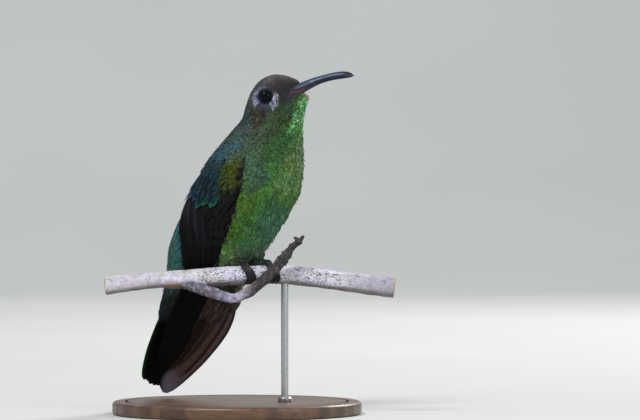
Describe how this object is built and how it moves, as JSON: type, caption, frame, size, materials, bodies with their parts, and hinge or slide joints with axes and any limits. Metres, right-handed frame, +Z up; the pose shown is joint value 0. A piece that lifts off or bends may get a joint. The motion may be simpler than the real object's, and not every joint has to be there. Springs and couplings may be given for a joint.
{
  "type": "hummingbird model",
  "caption": "Life-size green hummingbird gripping a cut branch with a side twig, folded wings and long tail hanging behind it, held up by a round base and a slim rod.",
  "frame": {"origin": "centre of the underside of the stand's base", "axes": "+X along the branch towards the side the bill points to, +Z up, -Y towards the side the breast is turned to"},
  "size_m": [0.0888, 0.076, 0.104],
  "materials": {
    "plumage_dusky": "dense dusky grey-brown head feathers",
    "plumage_green": "dense glossy green body feathers",
    "plumage_teal": "glossy blue-green wing coverts",
    "plumage_pale": "soft pale thigh feathers",
    "bill_horn": "smooth black horn with a bluish gloss",
    "bill_flesh": "dark horn, reddish at the root",
    "eye": "wet-looking black-brown eye",
    "flight_feather": "blackish vanes with a purple sheen",
    "tail_feather": "dark brown vanes, paler below",
    "foot_skin": "fine dark scales",
    "bark": "whitish weathered bark with dark flecks",
    "steel": "satin steel",
    "walnut": "oiled dark wood"
  },
  "bodies": {
    "root": {"head": "plumage_dusky", "neck": "plumage_green", "trunk": "plumage_green", "bill_upper": "bill_horn", "bill_lower": "bill_flesh", "eye_right": "eye", "eye_left": "eye", "wing_right_flight": "flight_feather", "wing_left_flight": "flight_feather", "wing_right_coverts": "plumage_teal", "wing_left_coverts": "plumage_teal", "tail": "tail_feather", "leg_right": "plumage_pale", "leg_left": "plumage_pale", "foot_right": "foot_skin", "foot_left": "foot_skin", "perch": "bark", "stand_rod": "steel", "stand_base": "walnut"}
  },
  "joints": []
}
